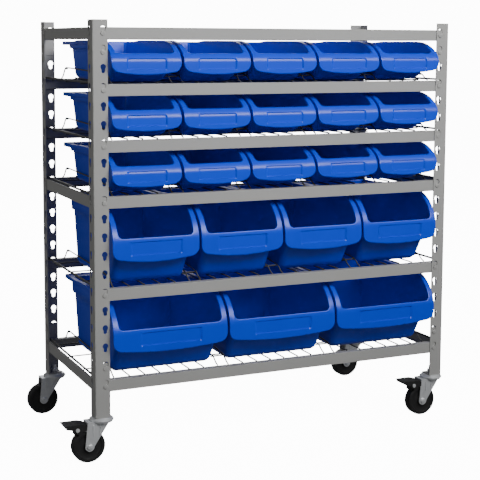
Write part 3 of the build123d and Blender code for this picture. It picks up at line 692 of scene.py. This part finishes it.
# The whole bin as one closed skin
def binSurface(size, width):
    size = dict(size, labelHalf=binShape["labelHalf"][round(width)])
    layout = ringLayout()
    strip = stripCurve(size)
    flatTop = strip[0][-1] - binShape["stripSpare"]

    def tub(z, grow):
        z = np.broadcast_to(z, layout.shape[1]).astype(float)
        x, y = tubAt(layout, size, width, z, grow)
        return np.stack([x, y, z], axis=-1)

    def outline(inset):
        return stripOutline(layout, size, width, flatTop, inset)

    mouthZ, mouthX, mouthS = meetStrip(layout, size, width, strip, -binShape["wall"], 0)
    wallZ = meetStrip(layout, size, width, strip, 0, binShape["plate"])[0]
    inside, belowMouth = insideRings(tub, mouthZ)
    face, beforeEdge = faceRings(layout, size, strip, (mouthX, mouthS), outline(0), belowMouth)
    edge = edgeRings(size, strip, outline, beforeEdge)
    rings = np.array(inside + face + edge + outsideRings(tub, size, wallZ, edge[-1]))
    # the rim drops a little towards the hook
    ramp = stepUp(rings[..., 1], binShape["rampStart"], binShape["rampEnd"] - binShape["rampStart"])
    nearRim = stepUp(rings[..., 2], size["height"] - binShape["dropBelow"], binShape["dropFade"])
    rings[..., 2] -= binShape["rearDrop"] * ramp * nearRim
    return surfaceFromRings(rings * mm)


# Bins of one width share a surface, moved to each bin's place
def placeBins():
    made = {}
    for node in sorted(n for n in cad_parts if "_bin_" in n):
        low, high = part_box(node)
        width = round((high.x - low.x) / mm, 3)
        size = binShape["small"] if node.startswith("small") else binShape["tall"]
        if width not in made:
            made[width] = binSurface(size, width)
        points, quads, triangles = made[width]
        place = np.array([(low.x + high.x) / 2, low.y, low.z])
        mesh = meshFrom(node + "Mesh", points + place, quads, triangles)
        addPiece(node + "_look", mesh, binFinish, node, [node], 60)


placeBins()
print("bins moulded")


# Solid wheel with a recessed disc between hub and rim, and rounded shoulders
wheelShape = {"radius": 38.1, "halfWidth": 12.0, "hubProud": 1.2, "bore": 4.08, "hub": 12.0, "recess": 2.5,
              "rim": 29.5, "ring": 33.4, "shoulder": 4.0, "hubRound": 1.2, "hubCut": 0.3, "hubFoot": 0.4,
              "rimRound": 1.6, "rimCut": 0.6, "softEdge": 0.5, "shoulderPoints": 7}


def wheelProfile(shape):
    half, hub, rim = shape["halfWidth"], shape["hub"], shape["rim"]
    floor, face = half - shape["recess"], half + shape["hubProud"]
    cut, soft, shoulder = shape["hubCut"], shape["softEdge"], shape["shoulder"]
    side = [(shape["bore"], face), (hub - shape["hubRound"], face), (hub - cut, face - cut),
            (hub, face - shape["hubRound"]), (hub + shape["hubFoot"], floor + soft),
            (hub + shape["hubRound"], floor), (rim - shape["rimRound"], floor),
            (rim - shape["rimCut"], floor + shape["hubFoot"]), (rim, half - soft), (rim + soft, half),
            (shape["ring"], half)]
    for angle in np.linspace(0, math.pi / 2, shape["shoulderPoints"]):
        side.append((shape["radius"] - shoulder + shoulder * math.sin(angle),
                     half - shoulder + shoulder * math.cos(angle)))
    return side + [(r, -y) for r, y in side[::-1]]


# Axle bolt with a domed head at each end. The rim is the share of the head's height that stands straight.
axleShape = {"headRadius": 7.0, "headHeight": 3.5, "span": 16.6, "shank": 3.9, "rim": 0.35, "edge": 0.3,
             "firstTurn": 0.12, "points": 7}


def axleProfile(shape):
    radius, height, span = shape["headRadius"], shape["headHeight"], shape["span"]
    rim, edge = shape["rim"], shape["edge"]
    side = [(radius * math.sin(a), span + height * (rim + (1 - rim) * math.cos(a)))
            for a in np.linspace(shape["firstTurn"], math.pi / 2, shape["points"])]
    side += [(radius, span + edge), (radius - edge, span), (shape["shank"], span)]
    return side + [(r, -y) for r, y in side[::-1]]


def placeCasters():
    for corner in cornerNames:
        caster = "caster_" + corner
        low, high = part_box("caster_wheel_" + corner)
        centre = ((low.x + high.x) / 2, (low.y + high.y) / 2, (low.z + high.z) / 2)
        wheel = lathe(wheelProfile(wheelShape), centre, "y", 96, loop=True)
        addPiece("caster_wheel_" + corner + "_look", meshFrom("wheel", *wheel), wheelFinish,
                 "wheel_" + corner, ["caster_wheel_" + corner], 40)
        axle = lathe(axleProfile(axleShape), centre, "y", 32)
        addPiece("wheel_axle_" + corner + "_look", meshFrom("axle", *axle), zincFinish,
                 caster, ["wheel_axle_" + corner], 50)
        softenedCopy("caster_fork_" + corner, zincFinish, caster, sheetMetal["plateEdgeRadius"])
        if "front" in corner:
            softenedCopy("brake_pedal_" + corner, pedalFinish, "brake_" + corner,
                         sheetMetal["pedalEdgeRadius"])
            softenedCopy("brake_pin_" + corner, zincFinish, caster, sheetMetal["edgeRadius"])
    for node in ("caster_stems", "stem_nuts", "swivel_bearings"):
        softenedCopy(node, zincFinish, "frame", sheetMetal["edgeRadius"])


placeCasters()
print("casters fitted")


# Lengths in metres, powers in watts, spreads in degrees
studio = {"floorSize": 14.0, "whiteness": 13.0, "ambient": 0.11,
          "floor": {"light": "#FFFFFF", "dark": "#FBFBFB", "driftSize": 0.8, "roughness": 0.8},
          "key": {"place": (0.6, -2.2, 2.1), "aim": (0.0, -0.2, 0.95), "size": (2.4, 1.2), "power": 17,
                  "spread": 70},
          "left": {"place": (-3.4, 0.2, 1.6), "aim": (-0.45, 0, 0.6), "size": (1.2, 1.6), "power": 5,
                   "spread": 120},
          "front": {"place": (-0.2, -3.8, 1.3), "aim": (0, 0, 0.5), "size": (2.4, 1.4), "power": 1.6,
                    "spread": 180},
          "back": {"place": (1.0, 3.4, 2.0), "aim": (0, 0, 0.5), "size": (2.4, 1.4), "power": 34,
                   "spread": 180}}


def makeFloor():
    half = studio["floorSize"] / 2
    mesh = bpy.data.meshes.new("floor")
    floorCorners = [(-half, -half, 0), (half, -half, 0), (half, half, 0), (-half, half, 0)]
    mesh.from_pydata(floorCorners, [], [(0, 1, 2, 3)])
    floor = bpy.data.objects.new("floor", mesh)
    bpy.context.collection.objects.link(floor)
    material, tree, shader, place = newFinish("litWhiteFloor")
    look = studio["floor"]
    driftColour(tree, shader, place, look["driftSize"], look["light"], look["dark"])
    shader.inputs["Roughness"].default_value = look["roughness"]
    shader.inputs["Emission Color"].default_value = (1, 1, 1, 1)
    shader.inputs["Emission Strength"].default_value = studio["whiteness"]
    floor.data.materials.append(material)
    # the floor is a light table: it looks white, and throws no glare up on the cart
    floor.visible_diffuse = False
    floor.visible_glossy = False


def addSoftLight(name, lamp):
    light = bpy.data.lights.new(name, "AREA")
    light.shape = "RECTANGLE"
    light.size, light.size_y = lamp["size"]
    light.energy = lamp["power"]
    light.spread = math.radians(lamp["spread"])
    holder = bpy.data.objects.new(name, light)
    place = np.array(lamp["place"], float)
    back = place - np.array(lamp["aim"], float)
    back /= np.linalg.norm(back)
    side = np.cross([0, 0, 1], back)
    side /= np.linalg.norm(side)
    rise = np.cross(back, side)
    columns = np.stack([side, rise, back, place], axis=1)
    holder.matrix_world = Matrix(columns.tolist() + [[0, 0, 0, 1]])
    bpy.context.collection.objects.link(holder)


# The backdrop is bright white where the camera sees it, and a dim even fill everywhere else
def makeLight():
    world = bpy.data.worlds.new("studioWorld")
    bpy.context.scene.world = world
    world.use_nodes = True
    tree = world.node_tree
    background = tree.nodes["Background"]
    background.inputs["Color"].default_value = (1, 1, 1, 1)
    seen = addNode(tree, "ShaderNodeLightPath").outputs["Is Camera Ray"]
    strength = addNode(tree, "ShaderNodeMapRange", values={"To Min": studio["ambient"],
                       "To Max": studio["whiteness"]}, links={"Value": seen})
    tree.links.new(strength.outputs["Result"], background.inputs["Strength"])
    for name in ("key", "left", "front", "back"):
        addSoftLight(name + "Light", studio[name])


# The camera stands where the photograph was taken, worked out from the posts' and beams' corners
cameraView = {"place": (-1.233353, -2.707383, 0.93803), "yaw": 24.3246, "pitch": 6.1714, "roll": 0.235,
              "focalPixels": 1194.8, "framePixels": 480, "axisPixel": 172.0, "sensor": 36.0}


def makeCamera(view):
    yaw, pitch, roll = (math.radians(view[key]) for key in ("yaw", "pitch", "roll"))
    forward = np.array([math.sin(yaw) * math.cos(pitch), math.cos(yaw) * math.cos(pitch), -math.sin(pitch)])
    right = np.array([math.cos(yaw), -math.sin(yaw), 0])
    up = np.cross(right, forward)
    side = right * math.cos(roll) + up * math.sin(roll)
    rise = up * math.cos(roll) - right * math.sin(roll)
    data = bpy.data.cameras.new("photoCamera")
    data.sensor_width = view["sensor"]
    data.lens = view["sensor"] * view["focalPixels"] / view["framePixels"]
    data.shift_y = (view["axisPixel"] - view["framePixels"] / 2) / view["framePixels"]
    camera = bpy.data.objects.new("photoCamera", data)
    columns = np.stack([side, rise, -forward, view["place"]], axis=1)
    camera.matrix_world = Matrix(columns.tolist() + [[0, 0, 0, 1]])
    bpy.context.collection.objects.link(camera)
    bpy.context.scene.camera = camera


makeFloor()
makeLight()
makeCamera(cameraView)
print("studio set")
